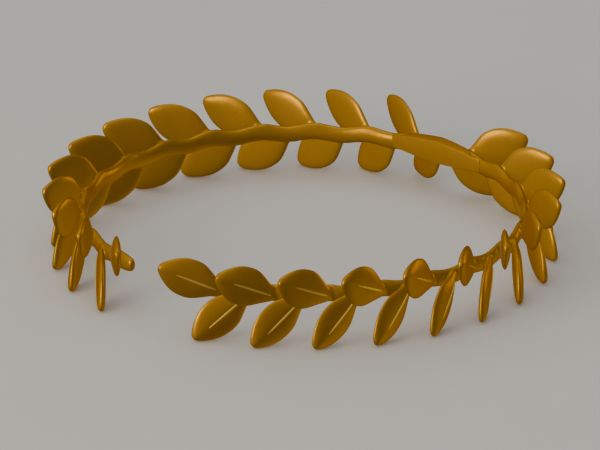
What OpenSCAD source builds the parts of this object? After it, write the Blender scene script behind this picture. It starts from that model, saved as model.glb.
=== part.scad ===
// Laurel wreath crown: two cast branches that meet at the back behind a flat
// plate and leave the ring open at the front.
// Origin: centre of the ring, on the surface that the lower leaves rest on.
// +Z is up, the join is at +Y and the open front at -Y. Millimetres, degrees.

/* [Ring] */
// Radius of the stem's centre line, half the head's width with room for hair
ring_r = 88.7; // [80:0.1:105]
// Opening at the front, between the centres of the two stem ends
front_gap = 33; // [20:1:60]
// Clearance between the pieces where they meet at the back
joint_gap = 0.2; // [0.1:0.05:0.4]

/* [Stem] */
// Thickness of the stem, from the inside of the ring to the outside
stem_t = 3.6; // [2.4:0.1:4.5]
// Height of the stem where it is thinnest, half way between two leaves
stem_h = 5.6; // [3.5:0.1:6]
// Height of the web that rises from the stem into each upper leaf's root
upper_web = 1.9; // [0.6:0.1:3]
// Height of the web that drops from the stem into each lower leaf's root
lower_web = 1.6; // [0.4:0.1:3]
// Bare end of the stem past the last leaf's root
stub_len = 10.9; // [6:0.1:16]

/* [Leaves] */
// Spacing of the leaves on one edge of the stem, rounded to fill the branch
leaf_pitch = 21.5; // [18:0.5:28]
// Distance from the join to the first upper leaf's root
first_root = 12.8; // [12:0.1:16]
// Distance that the leaves' roots lie outside the stem's centre line
root_out = 1.3; // [0:0.1:2]
// Width of a leaf at its widest
leaf_w = 16.2; // [10:0.2:18]
// Thickness of a leaf at its rim
leaf_t = 2.4; // [1.6:0.1:3.2]
// Swelling of a leaf's outer face above its rim
outer_swell = 0.9; // [0.4:0.1:1.3]
// Swelling of a leaf's inner face above its rim
inner_swell = 0.6; // [0.3:0.1:1.2]
// Width of the raised midrib at its foot
rib_w = 1.2; // [0.6:0.1:2]
// Height of the raised midrib above the outer face
rib_h = 0.5; // [0.3:0.1:0.8]

/* [Upper leaves] */
// Length from the stem's centre line to the tip
upper_len = 27.5; // [20:0.5:32]
// Angle between the leaf and the stem, seen from above
upper_yaw_angle = 29.5; // [22:0.5:40]
// Angle at which the leaf rises
upper_rise_angle = 25; // [15:0.5:35]

/* [Lower leaves] */
// Length from the stem's centre line to the tip
lower_len = 28; // [20:0.5:32]
// Angle between the leaf and the stem, seen from above
lower_yaw_angle = 25.5; // [20:0.5:35]
// Angle at which the leaf drops
lower_drop_angle = 39; // [30:0.5:45]
// Angle at which the first pair drops, beside the back plate
first_drop_angle = 34.5; // [25:0.5:38]

/* [Back plate] */
// Length of the flat plate behind which the branches meet
plate_len = 41; // [34:0.5:50]
// Height of the plate at its middle
plate_h = 9.4; // [8:0.2:13]
// Thickness of the plate at its two ends
plate_edge = 0.4; // [0.4:0.1:1.5]

/* [Hidden] */
gold = "goldenrod";

// Angle along the ring that a length of stem takes
function arc(len) = len / ring_r * 180 / PI;

// The branch runs from the join, at 0 degrees, to its free end
end_angle = 180 - asin(front_gap / 2 / ring_r);
first_angle = arc(first_root);
last_angle = end_angle - arc(stub_len);
roots_span = last_angle - first_angle;
leaf_pairs = round(roots_span / arc(leaf_pitch)) + 1;
pitch_angle = roots_span / (leaf_pairs - 1);

// Sections of a leaf from its root, inside the stem, to its tip. Columns: place
// as a share of the length, then shares of leaf_w, leaf_t, both swellings and
// rib_h. The first lies before the root line, so the leaf starts in the stem.
LEAF_SECTIONS = [
    [-0.08, 0.20, 0.65, 0.0, 0.0],
    [0.20, 0.62, 1.10, 0.6, 0.8],
    [0.38, 0.96, 1.00, 1.0, 1.0],
    [0.54, 1.00, 1.00, 1.0, 1.0],
    [0.70, 0.90, 1.00, 1.0, 0.7],
    [0.84, 0.67, 1.00, 0.8, 0.0],
    [0.93, 0.41, 1.00, 0.5, 0.0],
    [1.00, 0.15, 0.70, 0.0, 0.0]
];

// Where a leaf's faces turn into its rim, as shares of half its width
outer_turn = 0.88;
inner_turn = 0.86;

// Height of the web along one pitch, from a root to the next, as a share of its
// height at a root. The web falls away past a root and rises slowly to the next.
WEB_RAMP = [[0.00, 1.00], [0.25, 0.45], [0.50, 0.00], [0.75, 0.30], [1.00, 1.00]];
rings_per_pitch = 4;

// Where the stem's flat top ends, as a share of its thickness, and where its
// flat side ends, as a share of its height
stem_flat = 0.5;
stem_side = 0.5;

// Stem sections at the free end. Columns: distance back from the end as a
// share of the stub, then height and thickness as shares of the stem's.
STUB_SECTIONS = [[0.75, 1.35, 1.0], [0.40, 1.25, 1.0], [0.12, 1.00, 0.9], [0.00, 0.60, 0.5]];

// Half of the plate's outline. Columns: place as a share of half the length,
// upper edge and lower edge as shares of the plate's height.
PLATE_OUTLINE = [[0.00, 0.57, 0.43], [0.45, 0.49, 0.39], [1.00, 0.33, 0.27]];

// How far a leaf that drops at this angle reaches below the stem's centre
function reach(len, drop) = max([for (s = LEAF_SECTIONS)
    s[0] * len * sin(drop) + s[1] * leaf_w / 2 * cos(drop)]);
stem_z = reach(lower_len, lower_drop_angle);

// Closed outline of one leaf section, as [out of the face, across the leaf].
// Both faces swell, and the outer one carries the midrib.
function leaf_outline(row) =
    let (half_w = row[1] * leaf_w / 2,
         rim = row[2] * leaf_t / 2,
         crown = rim + row[3] * outer_swell,
         rib = crown + row[4] * rib_h,
         foot = min(rib_w / 2, half_w / 2),
         inner = -rim - row[3] * inner_swell,
         front = half_w * outer_turn,
         back = half_w * inner_turn)
    [[0, half_w], [rim, front], [crown, foot], [rib, 0], [crown, -foot],
     [rim, -front], [0, -half_w], [-rim, -back], [inner, 0], [-rim, back]];

// Solid through a row of closed sections with equally many points each
module loft(sections) {
    sides = len(sections[0]);
    last = (len(sections) - 1) * sides;
    walls = [for (i = [0 : len(sections) - 2], j = [0 : sides - 1])
        let (a = i * sides + j, b = i * sides + (j + 1) % sides)
        each [[a, b, b + sides], [a, b + sides, a + sides]]];
    root_cap = [for (j = [1 : sides - 2]) [0, j + 1, j]];
    tip_cap = [for (j = [1 : sides - 2]) [last, last + j, last + j + 1]];
    polyhedron(points = [for (s = sections) each s], faces = concat(walls, root_cap, tip_cap));
}

// One leaf along +X, with its outer face towards +Y
module leaf(len) {
    loft([for (row = LEAF_SECTIONS) [for (p = leaf_outline(row)) [row[0] * len, p[0], p[1]]]]);
}

// Sets a leaf on the stem at an angle along the ring, turned outwards by its
// yaw and raised by its rise
module set_leaf(angle, len, yaw, rise) {
    rotate([0, 0, -angle])
        translate([0, ring_r + root_out, 0])
            rotate([0, -rise, yaw])
                leaf(len);
}

// Height of the stem's edge above its centre at an angle along the ring, where
// the roots on that edge lie at first and then a pitch apart. The web keeps its
// full height from the join to the first root, behind the plate.
function edge_height(angle, first, web) =
    let (place = max(0, angle - first) / pitch_angle)
    stem_h / 2 + web * lookup(place - floor(place), WEB_RAMP);

// One eight-sided section of the stem at an angle along the ring
function stem_section(angle, top, bottom, thick) =
    let (side = thick / 2, edge = side * stem_flat, up = top * stem_side, down = bottom * stem_side)
    [for (p = [[edge, top], [side, up], [side, -down], [edge, -bottom],
               [-edge, -bottom], [-side, -down], [-side, up], [-edge, top]])
        [(ring_r + p[0]) * sin(angle), (ring_r + p[0]) * cos(angle), p[1]]];

// The stem from just past the join to its free end
module stem() {
    start = -arc(stem_t / 4);
    step = pitch_angle / rings_per_pitch;
    ring_count = floor((last_angle - start) / step - 0.25);
    angles = concat([start], [for (i = [ring_count : -1 : 0]) last_angle - i * step]);
    body = [for (a = angles)
        stem_section(a, edge_height(a, first_angle, upper_web),
                     edge_height(a, first_angle - pitch_angle / 2, lower_web), stem_t)];
    stub = [for (s = STUB_SECTIONS) let (half_h = s[1] * stem_h / 2)
        stem_section(end_angle - arc(s[0] * stub_len), half_h, half_h, s[2] * stem_t)];
    loft(concat(body, stub));
}

// What of the stem and of the first leaf would reach past the join
module past_join() {
    translate([joint_gap / 2 - stem_t, ring_r - leaf_w, stem_z - leaf_w])
        cube([stem_t, 2 * leaf_w, 2 * leaf_w]);
}

// The right-hand branch, stem and leaves cast as one and cut flat at the join.
// The upper roots are a pitch apart and the lower ones lie half a pitch nearer
// to the join.
module branch() {
    difference() {
        translate([0, 0, stem_z]) {
            stem();
            for (k = [0 : leaf_pairs - 1]) {
                root = first_angle + k * pitch_angle;
                set_leaf(root, upper_len, upper_yaw_angle, upper_rise_angle);
                set_leaf(root - pitch_angle / 2, lower_len, lower_yaw_angle,
                         -(k == 0 ? first_drop_angle : lower_drop_angle));
            }
        }
        past_join();
    }
}

module right_branch() {
    color(gold) branch();
}

module left_branch() {
    color(gold) mirror([1, 0, 0]) branch();
}

// One edge of the plate from end to end: column 1 is its upper edge and
// column 2 its lower one
function plate_side(half_len, column, up) =
    let (last = len(PLATE_OUTLINE) - 1)
    [for (i = [-last : last]) let (p = PLATE_OUTLINE[abs(i)])
        [sign(i) * p[0] * half_len, up * p[column] * plate_h]];

module plate_outline(half_len) {
    lower = plate_side(half_len, 2, -1);
    polygon(concat(plate_side(half_len, 1, 1), [for (i = [len(lower) - 1 : -1 : 0]) lower[i]]));
}

// Flat on the inside of the ring and curved behind to seat on the stems
module back_plate() {
    seat_r = ring_r - stem_t / 2 - joint_gap;
    half_len = plate_len / 2;
    face_y = sqrt(seat_r * seat_r - half_len * half_len) - plate_edge;
    color(gold) translate([0, 0, stem_z]) intersection() {
        translate([0, seat_r, 0]) rotate([90, 0, 0])
            linear_extrude(seat_r - face_y) plate_outline(half_len);
        translate([0, 0, -plate_h]) cylinder(h = 2 * plate_h, r = seat_r, $fn = 180);
    }
}

left_branch();
right_branch();
back_plate();
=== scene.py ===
import math

import bmesh
import bpy
from mathutils import Matrix, Vector
from mathutils.bvhtree import BVHTree


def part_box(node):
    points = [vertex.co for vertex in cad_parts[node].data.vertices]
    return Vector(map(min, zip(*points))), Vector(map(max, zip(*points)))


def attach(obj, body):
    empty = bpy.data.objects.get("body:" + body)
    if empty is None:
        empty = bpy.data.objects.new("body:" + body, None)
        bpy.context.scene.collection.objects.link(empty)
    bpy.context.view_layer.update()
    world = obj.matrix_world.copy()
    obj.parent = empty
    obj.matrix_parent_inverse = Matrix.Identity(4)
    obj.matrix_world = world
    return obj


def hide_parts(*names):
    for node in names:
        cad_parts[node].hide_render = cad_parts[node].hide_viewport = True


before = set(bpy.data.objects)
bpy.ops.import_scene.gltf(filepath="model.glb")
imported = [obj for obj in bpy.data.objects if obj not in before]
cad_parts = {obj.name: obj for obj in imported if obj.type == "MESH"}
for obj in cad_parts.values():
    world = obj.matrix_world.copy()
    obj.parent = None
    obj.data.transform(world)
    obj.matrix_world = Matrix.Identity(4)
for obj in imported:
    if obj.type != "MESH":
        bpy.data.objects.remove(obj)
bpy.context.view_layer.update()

# Sizes of the wreath in metres, as in the solids

MM = 0.001

RING_R = 88.7 * MM
FRONT_GAP = 33 * MM
JOINT_GAP = 0.2 * MM
STEM_T = 3.6 * MM
STEM_H = 5.6 * MM
UPPER_WEB = 1.9 * MM
LOWER_WEB = 1.6 * MM
STUB_LEN = 10.9 * MM

LEAF_PAIRS = 12
FIRST_ROOT = 12.8 * MM
ROOT_OUT = 1.3 * MM
LEAF_W = 16.2 * MM
# Thickness of a leaf at its rim, and how far its two faces swell from there
RIM_T = 2.4 * MM
OUTER_SWELL = 0.9 * MM
INNER_SWELL = 0.6 * MM
LEAF_T = RIM_T + OUTER_SWELL + INNER_SWELL
# The midrib is 0.1 mm slimmer than in the solids
RIB_W = 1.1 * MM
RIB_H = 0.5 * MM

UPPER_LEN = 27.5 * MM
UPPER_YAW = math.radians(29.5)
UPPER_RISE = math.radians(25)
LOWER_LEN = 28 * MM
LOWER_YAW = math.radians(25.5)
LOWER_DROP = math.radians(39)
FIRST_DROP = math.radians(34.5)

PLATE_LEN = 41 * MM
PLATE_H = 9.4 * MM
# How much of the plate's height lies above the stem's centre
PLATE_TOP = 0.57

# The plate's box gives the height of the stem's centre and the plate's face
plate_low, plate_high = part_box("back_plate")
STEM_Z = plate_high.z - PLATE_TOP * PLATE_H
PLATE_FACE_Y = plate_low.y

# Angles along the ring from the join at the back to the free end, the first
# and the last upper root, and from one root to the next
END_ANGLE = math.pi - math.asin(FRONT_GAP / 2 / RING_R)
FIRST_ANGLE = FIRST_ROOT / RING_R
LAST_ANGLE = END_ANGLE - STUB_LEN / RING_R
PITCH_ANGLE = (LAST_ANGLE - FIRST_ANGLE) / (LEAF_PAIRS - 1)

# Places closer than this are the same place
TINY = 0.01 * MM


def linear(code):
    """An sRGB hex colour as linear red, green, blue and alpha."""
    parts = [int(code[i : i + 2], 16) / 255 for i in (1, 3, 5)]
    return [p / 12.92 if p <= 0.04045 else ((p + 0.055) / 1.055) ** 2.4 for p in parts] + [1.0]


def add_node(tree, kind, inputs=None, **settings):
    """Adds a node, sets it, and gives its inputs values or links."""
    node = tree.nodes.new(kind)
    for name, value in settings.items():
        setattr(node, name, value)
    for name, value in (inputs or {}).items():
        if isinstance(value, bpy.types.NodeSocket):
            tree.links.new(value, node.inputs[name])
        else:
            node.inputs[name].default_value = value
    return node


def only(piece):
    """Makes one object the selected and active one."""
    bpy.ops.object.select_all(action="DESELECT")
    piece.select_set(True)
    bpy.context.view_layer.objects.active = piece


def apply_place(piece):
    only(piece)
    bpy.ops.object.transform_apply(location=True, rotation=True, scale=True)


def edit(piece):
    only(piece)
    bpy.ops.object.mode_set(mode="EDIT")


def leave_edit():
    bpy.ops.object.mode_set(mode="OBJECT")


def turn_outwards():
    """In edit mode, turns all faces outwards, and leaves it."""
    bpy.ops.mesh.select_all(action="SELECT")
    bpy.ops.mesh.normals_make_consistent(inside=False)
    leave_edit()


def pick(piece, wanted):
    """In edit mode, selects the vertices whose place is wanted."""
    mesh = bmesh.from_edit_mesh(piece.data)
    for vertex in mesh.verts:
        vertex.select_set(wanted(vertex.co))
    mesh.select_flush_mode()
    bmesh.update_edit_mesh(piece.data)


def start_section(name, points, radius, middle, fill="NGON"):
    """A round section across X, open in edit mode, from which a piece is drawn out."""
    bpy.ops.object.select_all(action="DESELECT")
    bpy.ops.mesh.primitive_circle_add(
        vertices=points,
        radius=radius,
        fill_type=fill,
        rotation=(0, math.pi / 2, 0),
        location=middle,
    )
    section = bpy.context.object
    section.name = name
    apply_place(section)
    edit(section)
    return section


def finish_modifier(piece, kind, **settings):
    """Adds a modifier, sets it and applies it."""
    only(piece)
    modifier = piece.modifiers.new(kind.title(), kind)
    for name, value in settings.items():
        setattr(modifier, name, value)
    bpy.ops.object.modifier_apply(modifier=modifier.name)


def take_finishes(piece, finishes, which):
    """Gives a piece all the finishes, and one of them to all its faces."""
    for finish in finishes:
        piece.data.materials.append(finish)
    for face in piece.data.polygons:
        face.material_index = which


def along(table, place):
    """The value of a table at a place between its rows."""
    for (a, low), (b, high) in zip(table, table[1:]):
        if place <= b:
            return low + (high - low) * (place - a) / (b - a)
    return table[-1][1]


# The leaf, modelled once along +X with its outer face towards +Y

# Half of a leaf's section, from its midline over the swelling outer face and
# round the rim to the middle of the inner face: share of half the width, then
# height as a share of the thickness
LEAF_PROFILE = [
    (0.00, 0.52),
    (0.15, 0.52),
    (0.38, 0.46),
    (0.62, 0.35),
    (0.86, 0.20),
    (1.03, -0.03),
    (0.90, -0.27),
    (0.55, -0.41),
    (0.00, -0.46),
]

# Rows of a leaf from its root, inside the stem, to its tip: share of the
# length, then shares of its width and thickness
LEAF_ROWS = [
    (-0.08, 0.20, 0.37),
    (0.06, 0.40, 0.66),
    (0.19, 0.64, 0.90),
    (0.30, 0.86, 0.98),
    (0.40, 1.00, 1.00),
    (0.54, 1.02, 1.00),
    (0.68, 0.94, 1.00),
    (0.80, 0.74, 0.95),
    (0.90, 0.49, 0.84),
    (0.965, 0.29, 0.64),
    (1.00, 0.13, 0.38),
]

# Rows of the midrib: share of the leaf's length, then share of the rib's size
RIB_ROWS = [(0.07, 0.1), (0.12, 0.7), (0.22, 1.0), (0.40, 1.0), (0.56, 0.85), (0.67, 0.6), (0.73, 0.1)]
RIB_POINTS = 8


def leaf_blank():
    """A round section pushed into the leaf's profile and drawn out through the rows."""
    points = 2 * (len(LEAF_PROFILE) - 1)
    radius = LEAF_W / 2
    share, wide, thick = LEAF_ROWS[0]
    start = Vector((share * UPPER_LEN, 0, 0))
    leaf = start_section("leaf", points, radius, start)
    for i in range(points):
        turn = 2 * math.pi * i / points
        here = start + Vector((0, radius * math.cos(turn), radius * math.sin(turn)))
        side = 1 if i < len(LEAF_PROFILE) else -1
        across, out = LEAF_PROFILE[min(i, points - i)]
        there = start + Vector((0, out * LEAF_T, side * across * radius))
        pick(leaf, lambda co: (co - here).length < TINY)
        bpy.ops.transform.translate(value=there - here)
    bpy.ops.mesh.select_all(action="SELECT")
    bpy.ops.transform.resize(value=(1, thick, wide), center_override=start)
    for next_share, next_wide, next_thick in LEAF_ROWS[1:]:
        step = (next_share - share) * UPPER_LEN
        bpy.ops.mesh.extrude_region_move(TRANSFORM_OT_translate={"value": (step, 0, 0)})
        bpy.ops.transform.resize(
            value=(1, next_thick / thick, next_wide / wide),
            center_override=(next_share * UPPER_LEN, 0, 0),
        )
        share, wide, thick = next_share, next_wide, next_thick
    turn_outwards()
    return leaf


def raise_rib(leaf, finishes):
    """Raises a slender midrib on the outer face, pointed at both ends, buffed, and painted lighter as a
    highlight.
    """
    face = BVHTree.FromObject(leaf, bpy.context.evaluated_depsgraph_get())

    def on_face(share):
        x = share * UPPER_LEN
        return face.ray_cast(Vector((x, LEAF_W, 0)), Vector((0, -1, 0)))[0]

    share, size = RIB_ROWS[0]
    middle = on_face(share)
    rib = start_section("rib", RIB_POINTS, RIB_W / 2, middle)
    bpy.ops.mesh.select_all(action="SELECT")
    bpy.ops.transform.resize(value=(1, size * 2 * RIB_H / RIB_W, size), center_override=middle)
    for share, next_size in RIB_ROWS[1:]:
        step = on_face(share) - middle
        middle = on_face(share)
        bpy.ops.mesh.extrude_region_move(TRANSFORM_OT_translate={"value": step})
        grow = next_size / size
        bpy.ops.transform.resize(value=(1, grow, grow), center_override=middle)
        size = next_size
    turn_outwards()
    finish_modifier(rib, "SUBSURF", levels=1, render_levels=1)
    # The rib takes the second finish, whose lighter colour is a painted highlight
    take_finishes(rib, finishes, 1)
    finish_modifier(leaf, "BOOLEAN", operation="UNION", solver="MANIFOLD", object=rib)
    bpy.data.objects.remove(rib)


def make_leaf(finishes):
    leaf = leaf_blank()
    finish_modifier(leaf, "SUBSURF", levels=2, render_levels=2)
    # Smoothing draws the leaf in, so it is brought back to its full size
    tip = max(v.co.x for v in leaf.data.vertices)
    leaf.scale = (UPPER_LEN / tip, LEAF_T / leaf.dimensions.y, LEAF_W / leaf.dimensions.z)
    apply_place(leaf)
    take_finishes(leaf, finishes, 0)
    raise_rib(leaf, finishes)
    finish_modifier(leaf, "TRIANGULATE")
    return leaf


def set_leaves(leaf, name, length, yaw, rises, first_root):
    """Copies of the leaf set on the stem a pitch apart, one for each rise."""
    copies = []
    stretch = Matrix.Diagonal((length / UPPER_LEN, 1, 1, 1))
    for k, rise in enumerate(rises):
        copy = leaf.copy()
        copy.data = leaf.data.copy()
        bpy.context.collection.objects.link(copy)
        copy.matrix_world = (
            Matrix.Rotation(-(first_root + k * PITCH_ANGLE), 4, "Z")
            @ Matrix.Translation((0, RING_R + ROOT_OUT, STEM_Z))
            @ Matrix.Rotation(yaw, 4, "Z")
            @ Matrix.Rotation(-rise, 4, "Y")
            @ stretch
        )
        copies.append(copy)
    bpy.ops.object.select_all(action="DESELECT")
    for copy in copies:
        copy.select_set(True)
    bpy.context.view_layer.objects.active = copies[0]
    bpy.ops.object.join()
    leaves = bpy.context.object
    leaves.name = name
    apply_place(leaves)
    return leaves


# The stem, a rounded band spun round the ring's centre to its blunt free end

# It starts a little past the join, where it is cut off in the end
START_ANGLE = -0.03
STEM_STEPS = 108

# Angles closer than this are the same angle
SAME_ANGLE = 0.001

# Points of the stem's section, and how far out its corners lie as a share of
# its thickness
STEM_POINTS = 8
CORNER_OUT = 0.72

# Smoothing draws a section of eight points in, and this factor makes up for it
ROUNDING = 1.09

# Place along one pitch, from a root to the next, then the height of the web
# there as a share of its full height
WEB_RAMP = [
    (0.00, 0.96),
    (0.06, 0.92),
    (0.14, 0.74),
    (0.25, 0.45),
    (0.37, 0.17),
    (0.50, 0.02),
    (0.62, 0.08),
    (0.75, 0.30),
    (0.87, 0.64),
    (0.95, 0.90),
    (1.00, 0.96),
]

# Distance back from the free end as a share of the stub, then height and
# thickness as shares of the stem's
STUB_ROWS = [
    (0.75, 1.35, 1.00),
    (0.40, 1.26, 1.00),
    (0.16, 1.10, 0.96),
    (0.03, 0.85, 0.75),
    (0.00, 0.50, 0.40),
]


def edge_height(angle, first, web):
    """Height of the stem's edge from its centre, full from the join to the first root."""
    place = max(0, angle - first) / PITCH_ANGLE
    return STEM_H / 2 + web * along(WEB_RAMP, place - math.floor(place))


def stem_section():
    """Eight points round the stem's centre line at the join, flattened to a band."""
    centre = Vector((0, RING_R, STEM_Z))
    stem = start_section("stem", STEM_POINTS, STEM_T / 2, centre, fill="NOTHING")
    # The corner points move out, which makes the band a little fuller
    corner = STEM_T / 2 * math.sqrt(0.5)
    push = CORNER_OUT * STEM_T / 2 - corner
    for side in (-1, 1):
        for end in (-1, 1):
            spot = centre + Vector((0, side * corner, end * corner))
            pick(stem, lambda co: (co - spot).length < TINY)
            bpy.ops.transform.translate(value=(0, side * push, end * push))
    bpy.ops.mesh.select_all(action="SELECT")
    bpy.ops.transform.resize(value=(1, 1, STEM_H / STEM_T), center_override=centre)
    return stem


def spin_stem(steps, angle):
    """Draws the selected end of the stem on along the ring."""
    bpy.ops.mesh.spin(steps=steps, angle=angle, center=(0, 0, STEM_Z), axis=(0, 0, 1))


def shape_ring(stem, angle, top, bottom, thick):
    """Gives the section at an angle its height above and below, and its thickness."""
    outward = Vector((math.sin(angle), math.cos(angle), 0))
    middle = outward * RING_R + Vector((0, 0, STEM_Z))

    def on_section(co):
        return abs(math.atan2(co.x, co.y) - angle) < SAME_ANGLE

    def at_depth(co, side, depth):
        return abs(side * (co - middle).dot(outward) - depth) < 2 * TINY

    for side, height in ((1, top), (-1, bottom)):
        pick(stem, lambda co: on_section(co) and side * (co.z - STEM_Z) > TINY)
        grow = ROUNDING * height / (STEM_H / 2)
        bpy.ops.transform.resize(value=(1, 1, grow), center_override=middle)
    for side in (-1, 1):
        for share in (1, CORNER_OUT):
            depth = share * STEM_T / 2
            pick(stem, lambda co: on_section(co) and at_depth(co, side, depth))
            bpy.ops.transform.translate(value=outward * side * depth * (ROUNDING * thick - 1))


def make_stem():
    stem = stem_section()
    bpy.ops.transform.rotate(value=START_ANGLE, orient_axis="Z", center_override=(0, 0, STEM_Z))
    spin_stem(STEM_STEPS, LAST_ANGLE - START_ANGLE)
    angle = LAST_ANGLE
    for back, high, thick in STUB_ROWS:
        step = END_ANGLE - back * STUB_LEN / RING_R - angle
        spin_stem(1, step)
        angle += step
    # The free end is closed, and then the other one
    bpy.ops.mesh.edge_face_add()
    pick(stem, lambda co: math.atan2(co.x, co.y) < START_ANGLE + SAME_ANGLE)
    bpy.ops.mesh.edge_face_add()
    for i in range(STEM_STEPS + 1):
        angle = START_ANGLE + i * (LAST_ANGLE - START_ANGLE) / STEM_STEPS
        top = edge_height(angle, FIRST_ANGLE, UPPER_WEB)
        bottom = edge_height(angle, FIRST_ANGLE - PITCH_ANGLE / 2, LOWER_WEB)
        shape_ring(stem, angle, top, bottom, 1)
    for back, high, thick in STUB_ROWS:
        half = high * STEM_H / 2
        shape_ring(stem, END_ANGLE - back * STUB_LEN / RING_R, half, half, thick)
    turn_outwards()
    finish_modifier(stem, "SUBSURF", levels=2, render_levels=2)
    finish_modifier(stem, "TRIANGULATE")
    return stem


# A branch is the stem and its leaves in one, with small fillets at the roots

# How far from a crease the rounding reaches, how soon it takes full hold
# towards it, and how often it is repeated
FILLET_REACH = 2.0 * MM
FILLET_HOLD = 1.5
FILLET_PASSES = 24


def near(tree, place, reach):
    """One on a surface, falling to nothing at a distance of reach from it."""
    return max(0.0, 1 - tree.find_nearest(place)[3] / reach)


def soften_roots(branch, stem_tree, leaf_trees):
    """Rounds the creases where the leaves leave the stem, as casting does."""
    group = branch.vertex_groups.new(name="roots")
    for vertex in branch.data.vertices:
        by_stem = near(stem_tree, vertex.co, FILLET_REACH)
        if by_stem > 0:
            weight = by_stem * max(near(tree, vertex.co, FILLET_REACH) for tree in leaf_trees)
            if weight > 0:
                group.add([vertex.index], min(1.0, FILLET_HOLD * weight), "REPLACE")
    finish_modifier(branch, "SMOOTH", factor=0.5, iterations=FILLET_PASSES, vertex_group="roots")
    branch.vertex_groups.clear()


def make_branch(leaf, finishes):
    branch = make_stem()
    take_finishes(branch, finishes, 0)
    rises = [UPPER_RISE] * LEAF_PAIRS
    drops = [-FIRST_DROP] + [-LOWER_DROP] * (LEAF_PAIRS - 1)
    upper = set_leaves(leaf, "upper_leaves", UPPER_LEN, UPPER_YAW, rises, FIRST_ANGLE)
    lower = set_leaves(leaf, "lower_leaves", LOWER_LEN, LOWER_YAW, drops, FIRST_ANGLE - PITCH_ANGLE / 2)
    graph = bpy.context.evaluated_depsgraph_get()
    stem_tree = BVHTree.FromObject(branch, graph)
    leaf_trees = [BVHTree.FromObject(leaves, graph) for leaves in (upper, lower)]
    for leaves in (upper, lower):
        finish_modifier(branch, "BOOLEAN", operation="UNION", solver="MANIFOLD", object=leaves)
        bpy.data.objects.remove(leaves)
    soften_roots(branch, stem_tree, leaf_trees)
    # What reaches past the join is cut off flat
    edit(branch)
    bpy.ops.mesh.select_all(action="SELECT")
    bpy.ops.mesh.bisect(
        plane_co=(JOINT_GAP / 2, 0, 0), plane_no=(1, 0, 0), use_fill=True, clear_inner=True
    )
    leave_edit()
    return branch


def mirrored(branch, name):
    """The same casting mirrored for the other side, with its faces turned outwards again."""
    other = branch.copy()
    other.data = branch.data.copy()
    other.name = name
    bpy.context.collection.objects.link(other)
    other.scale = (-1, 1, 1)
    apply_place(other)
    edit(other)
    turn_outwards()
    return other


# The back plate: flat inside, curved behind to seat on the stems

# Place as a share of half the length, then the upper and the lower edge as
# shares of the plate's height
PLATE_EDGES = [(0.00, PLATE_TOP, 0.43), (0.45, 0.49, 0.39), (1.00, 0.33, 0.27)]
PLATE_CUTS = 8

# How far the solder reaches into the stems, up them and past the plate's ends
SOLDER_DEPTH = 1.5 * MM
SOLDER_RISE = 0.7 * MM
SOLDER_END = 2.2 * MM

# Rounding of the plate's edges, and the angle from which an edge is rounded
PLATE_ROUND = 0.3 * MM
PLATE_EDGE_ANGLE = math.radians(40)


def make_plate():
    bpy.ops.object.select_all(action="DESELECT")
    depth = plate_high.y - PLATE_FACE_Y
    middle = Vector((0, PLATE_FACE_Y + depth / 2, STEM_Z))
    bpy.ops.mesh.primitive_cube_add(size=1, location=middle, scale=(PLATE_LEN, depth, PLATE_H))
    plate = bpy.context.object
    plate.name = "plate_flat_faced"
    apply_place(plate)
    edit(plate)
    half = PLATE_LEN / 2
    columns = [half * k / PLATE_CUTS for k in range(-PLATE_CUTS, PLATE_CUTS + 1)]
    for x in columns[1:-1]:
        bpy.ops.mesh.select_all(action="SELECT")
        bpy.ops.mesh.bisect(plane_co=(x, 0, 0), plane_no=(1, 0, 0))
    # Each column gets its two edges, and its back is set on the circle round
    # the ring's centre that the back follows
    uppers = [(share, up) for share, up, low in PLATE_EDGES]
    lowers = [(share, low) for share, up, low in PLATE_EDGES]
    for x in columns:
        share = abs(x) / half
        for side, table in ((1, uppers), (-1, lowers)):
            pick(plate, lambda co: abs(co.x - x) < TINY and side * (co.z - STEM_Z) > 0)
            bpy.ops.transform.translate(value=(0, 0, side * PLATE_H * (along(table, share) - 0.5)))
        pick(plate, lambda co: abs(co.x - x) < TINY and co.y > middle.y)
        bpy.ops.transform.translate(value=(0, math.sqrt(plate_high.y**2 - x**2) - plate_high.y, 0))
    # Solder carries the ends on to where their face meets the stems
    for side in (-1, 1):
        pick(plate, lambda co: side * co.x > half - TINY)
        bpy.ops.transform.translate(value=(side * SOLDER_END, 0, 0))
    # The back is drawn out to the stems, where the solder joins it to them
    pick(plate, lambda co: co.y > middle.y)
    bpy.ops.transform.translate(value=(0, SOLDER_DEPTH, 0))
    pick(plate, lambda co: co.y > middle.y and co.z > STEM_Z)
    bpy.ops.transform.translate(value=(0, 0, SOLDER_RISE))
    leave_edit()
    finish_modifier(
        plate, "BEVEL", width=PLATE_ROUND, segments=3, limit_method="ANGLE", angle_limit=PLATE_EDGE_ANGLE
    )
    return plate


# What both materials start from

# The two colours and the result of a mix node that mixes colours
MIX_A = 6
MIX_B = 7
MIX_RESULT = 2


def start_material(name):
    """A material without nodes, but for the one that gives the place on the piece."""
    material = bpy.data.materials.new(name)
    material.use_nodes = True
    tree = material.node_tree
    tree.nodes.clear()
    where = add_node(tree, "ShaderNodeTexCoord").outputs["Object"]
    return material, tree, where


# Gold-plated cast brass, satin polished

# A deep yellow metal that blurs what it mirrors, a little uneven from the
# casting and from the polishing wheel. Sizes of its patches, waves and grain:
TONE_SIZE = 25 * MM
CLOUD_SIZE = 5 * MM
WAVE_SIZE = 4 * MM
WAVE_DEPTH = 0.12 * MM
GRAIN_SIZE = 0.35 * MM
GRAIN_DEPTH = 0.02 * MM

# The plating's colour where it is seen edge on
EDGE_TINT = "#E8BE40"


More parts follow.
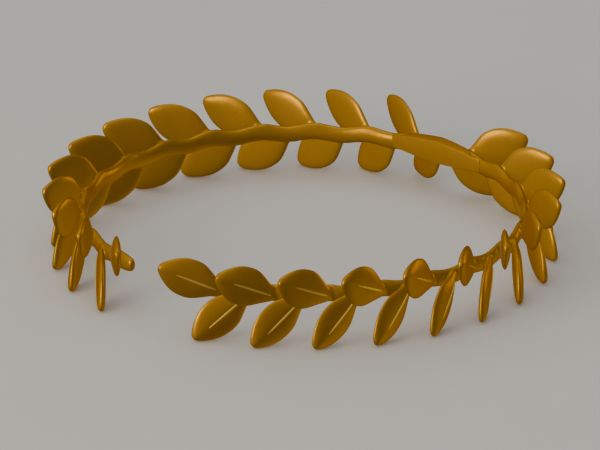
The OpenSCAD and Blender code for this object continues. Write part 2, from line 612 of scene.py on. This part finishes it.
def plated_gold(name, tones, finest, coarsest):
    """Plated brass between two tones, polished between two roughnesses."""
    material, tree, where = start_material(name)

    # The plating is a shade thicker and redder in places 20 to 30 mm apart
    tone = add_node(
        tree,
        "ShaderNodeTexNoise",
        {"Vector": where, "Scale": 1 / TONE_SIZE, "Detail": 3.0, "Roughness": 0.55},
    )
    color = add_node(
        tree,
        "ShaderNodeMix",
        {"Factor": tone.outputs["Fac"], MIX_A: linear(tones[0]), MIX_B: linear(tones[1])},
        data_type="RGBA",
    )

    # Polishing leaves clouds of finer and coarser satin about 5 mm wide
    cloud = add_node(
        tree,
        "ShaderNodeTexNoise",
        {"Vector": where, "Scale": 1 / CLOUD_SIZE, "Detail": 4.0, "Roughness": 0.6},
    )
    satin = add_node(
        tree,
        "ShaderNodeMapRange",
        {
            "Value": cloud.outputs["Fac"],
            "From Min": 0.3,
            "From Max": 0.7,
            "To Min": finest,
            "To Max": coarsest,
        },
    )

    # The grain of the satin is about 0.1 mm, drawn at 0.35 mm so that it shows,
    # on the slow waves of a hand-finished casting, 4 mm long
    waves = add_node(
        tree,
        "ShaderNodeTexNoise",
        {"Vector": where, "Scale": 1 / WAVE_SIZE, "Detail": 1.0, "Roughness": 0.4},
    )
    wavy = add_node(
        tree, "ShaderNodeBump", {"Height": waves.outputs["Fac"], "Strength": 0.35, "Distance": WAVE_DEPTH}
    )
    grain = add_node(
        tree,
        "ShaderNodeTexNoise",
        {"Vector": where, "Scale": 1 / GRAIN_SIZE, "Detail": 2.0, "Roughness": 0.5},
    )
    grainy = add_node(
        tree,
        "ShaderNodeBump",
        {
            "Height": grain.outputs["Fac"],
            "Strength": 0.12,
            "Distance": GRAIN_DEPTH,
            "Normal": wavy.outputs["Normal"],
        },
    )

    shader = add_node(
        tree,
        "ShaderNodeBsdfPrincipled",
        {
            "Base Color": color.outputs[MIX_RESULT],
            "Metallic": 1.0,
            "Roughness": satin.outputs["Result"],
            "Specular Tint": linear(EDGE_TINT),
            "Normal": grainy.outputs["Normal"],
        },
    )
    add_node(tree, "ShaderNodeOutputMaterial", {"Surface": shader.outputs["BSDF"]})
    return material


# Matt painted board under the wreath

# It is pale, with a faint unevenness
BOARD_WIDTH = 12
BOARD_PATCH = 60 * MM
BOARD_TONES = ("#E6E4E1", "#EBEAE7")
BOARD_ROUGHNESS = 0.85


def painted_board():
    material, tree, where = start_material("painted_board_matt")
    patch = add_node(tree, "ShaderNodeTexNoise", {"Vector": where, "Scale": 1 / BOARD_PATCH, "Detail": 3.0})
    color = add_node(
        tree,
        "ShaderNodeMix",
        {"Factor": patch.outputs["Fac"], MIX_A: linear(BOARD_TONES[0]), MIX_B: linear(BOARD_TONES[1])},
        data_type="RGBA",
    )
    shader = add_node(
        tree,
        "ShaderNodeBsdfPrincipled",
        {"Base Color": color.outputs[MIX_RESULT], "Roughness": BOARD_ROUGHNESS},
    )
    add_node(tree, "ShaderNodeOutputMaterial", {"Surface": shader.outputs["BSDF"]})
    return material


def lay_floor():
    bpy.ops.object.select_all(action="DESELECT")
    bpy.ops.mesh.primitive_plane_add(size=BOARD_WIDTH, location=(0, 0, 0))
    floor = bpy.context.object
    floor.name = "floor"
    floor.data.materials.append(painted_board())
    # The metal mirrors the studio and not the board, which would light it from below
    floor.visible_glossy = False


# The camera, far off behind a long lens, with the photograph's view

# What it takes in is VIEW_WIDTH wide at the wreath, and the middle of that
# lies VIEW_RIGHT and VIEW_UP from the middle of the ring
VIEW_AZIMUTH = math.radians(39.36)
VIEW_ELEVATION = math.radians(21.63)
VIEW_WIDTH = 240.7 * MM
VIEW_LENS = 1250
VIEW_RIGHT = -1.6 * MM
VIEW_UP = -4.8 * MM


def in_view(view, place):
    """A place or direction that is given to the right, up and towards the camera."""
    return sum((share * axis for share, axis in zip(place, view)), Vector((0, 0, 0)))


def set_camera():
    """Sets the camera, and says which way right, up and towards it lie."""
    data = bpy.data.cameras.new("camera")
    data.lens = VIEW_LENS
    data.clip_start = 0.1
    data.clip_end = 50
    camera = bpy.data.objects.new("camera", data)
    bpy.context.collection.objects.link(camera)
    bpy.context.scene.camera = camera
    back = Vector(
        (
            math.sin(VIEW_AZIMUTH) * math.cos(VIEW_ELEVATION),
            -math.cos(VIEW_AZIMUTH) * math.cos(VIEW_ELEVATION),
            math.sin(VIEW_ELEVATION),
        )
    )
    right = Vector((math.cos(VIEW_AZIMUTH), math.sin(VIEW_AZIMUTH), 0))
    view = (right, back.cross(right), back)
    distance = VIEW_WIDTH * VIEW_LENS / data.sensor_width
    camera.location = Vector((0, 0, STEM_Z)) + in_view(view, (VIEW_RIGHT, VIEW_UP, distance))
    camera.rotation_euler = back.to_track_quat("Z", "Y").to_euler()
    return view


# The studio's light

# How bright the studio is all round, and how that grows to the right, up and
# towards the camera, as the places and directions below are given too
STUDIO_COLOR = "#F6F4F0"
STUDIO_LEVEL = 0.41
STUDIO_SLOPE = (-0.26, 0.19, 0.14)

# A soft glow low behind on the right, which gives the leaves' rims a light line
GLOW_LEVEL = 0.45
GLOW_SIDE = (0.7, -0.45, -0.55)
GLOW_FOCUS = 4.0

# Where the soft lights stand in metres, and how high the top one hangs
KEY_PLACE = (-1.1, 0.0, 1.0)
RIM_PLACE = (1.1, 0.35, -0.6)
TOP_HEIGHT = 1.5

# Their widths in metres, powers in watts and colours. The key light's tint
# keeps the highlights on the gold yellow.
KEY_LIGHT = (0.8, 6.6, "#FFF1BE")
RIM_LIGHT = (0.5, 0.8, "#FFE3BC")
TOP_LIGHT = (1.2, 1.6, "#FFFFFF")


def soft_light(name, place, light):
    """A square soft light turned towards the wreath."""
    data = bpy.data.lights.new(name, "AREA")
    data.size, data.energy, color = light
    data.color = linear(color)[:3]
    lamp = bpy.data.objects.new(name, data)
    lamp.location = place
    lamp.rotation_euler = (place - Vector((0, 0, STEM_Z))).to_track_quat("Z", "Y").to_euler()
    bpy.context.collection.objects.link(lamp)


def light_scene(view):
    """A studio that is brightest on the left and above, with a low glow and three soft lights."""
    world = bpy.data.worlds.new("studio")
    bpy.context.scene.world = world
    world.use_nodes = True
    tree = world.node_tree
    tree.nodes.clear()
    where = add_node(tree, "ShaderNodeTexCoord").outputs["Generated"]
    slope = in_view(view, STUDIO_SLOPE)
    side = add_node(tree, "ShaderNodeVectorMath", {0: where, 1: slope}, operation="DOT_PRODUCT")
    level = add_node(tree, "ShaderNodeMath", {0: side.outputs["Value"], 1: STUDIO_LEVEL}, operation="ADD")
    low = in_view(view, GLOW_SIDE).normalized()
    facing = add_node(tree, "ShaderNodeVectorMath", {0: where, 1: low}, operation="DOT_PRODUCT")
    faced = add_node(tree, "ShaderNodeMath", {0: facing.outputs["Value"], 1: 0.0}, operation="MAXIMUM")
    glow = add_node(tree, "ShaderNodeMath", {0: faced.outputs["Value"], 1: GLOW_FOCUS}, operation="POWER")
    total = add_node(
        tree,
        "ShaderNodeMath",
        {0: glow.outputs["Value"], 1: GLOW_LEVEL, 2: level.outputs["Value"]},
        operation="MULTIPLY_ADD",
    )
    sky = add_node(
        tree, "ShaderNodeBackground", {"Color": linear(STUDIO_COLOR), "Strength": total.outputs["Value"]}
    )
    add_node(tree, "ShaderNodeOutputWorld", {"Surface": sky.outputs["Background"]})
    soft_light("key", in_view(view, KEY_PLACE), KEY_LIGHT)
    soft_light("top", Vector((0, 0, TOP_HEIGHT)), TOP_LIGHT)
    soft_light("rim", in_view(view, RIM_PLACE), RIM_LIGHT)


# The leaves and stems are satin. The midribs are buffed, and their lighter colour is a painted highlight

satin_gold = plated_gold(
    "gold_plated_brass_satin", tones=("#BE8624", "#C9922C"), finest=0.26, coarsest=0.36
)
# The midribs' paler gold is a painted highlight that stands in for the light they catch
buffed_gold_painted_highlight = plated_gold(
    "gold_plated_brass_buffed_painted_highlight", tones=("#F0C050", "#F4C85C"), finest=0.24, coarsest=0.30
)

# Faces that meet at less than this angle shade as one
CREASE_ANGLE = math.radians(50)

leaf = make_leaf((satin_gold, buffed_gold_painted_highlight))
right_branch = make_branch(leaf, (satin_gold, buffed_gold_painted_highlight))
right_branch.name = "right_branch_cast"
left_branch = mirrored(right_branch, "left_branch_cast")
bpy.data.objects.remove(leaf)
plate = make_plate()
take_finishes(plate, [satin_gold], 0)

for piece, node in ((left_branch, "left_branch"), (right_branch, "right_branch"), (plate, "back_plate")):
    only(piece)
    bpy.ops.object.shade_smooth_by_angle(angle=CREASE_ANGLE)
    # The gold mirrors the studio and not itself, which keeps its crevices light
    piece.visible_glossy = False
    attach(piece, "root")
    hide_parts(node)

# The solids that these pieces replace have the same finish
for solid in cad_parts.values():
    solid.data.materials.clear()
    solid.data.materials.append(satin_gold)

lay_floor()
light_scene(set_camera())
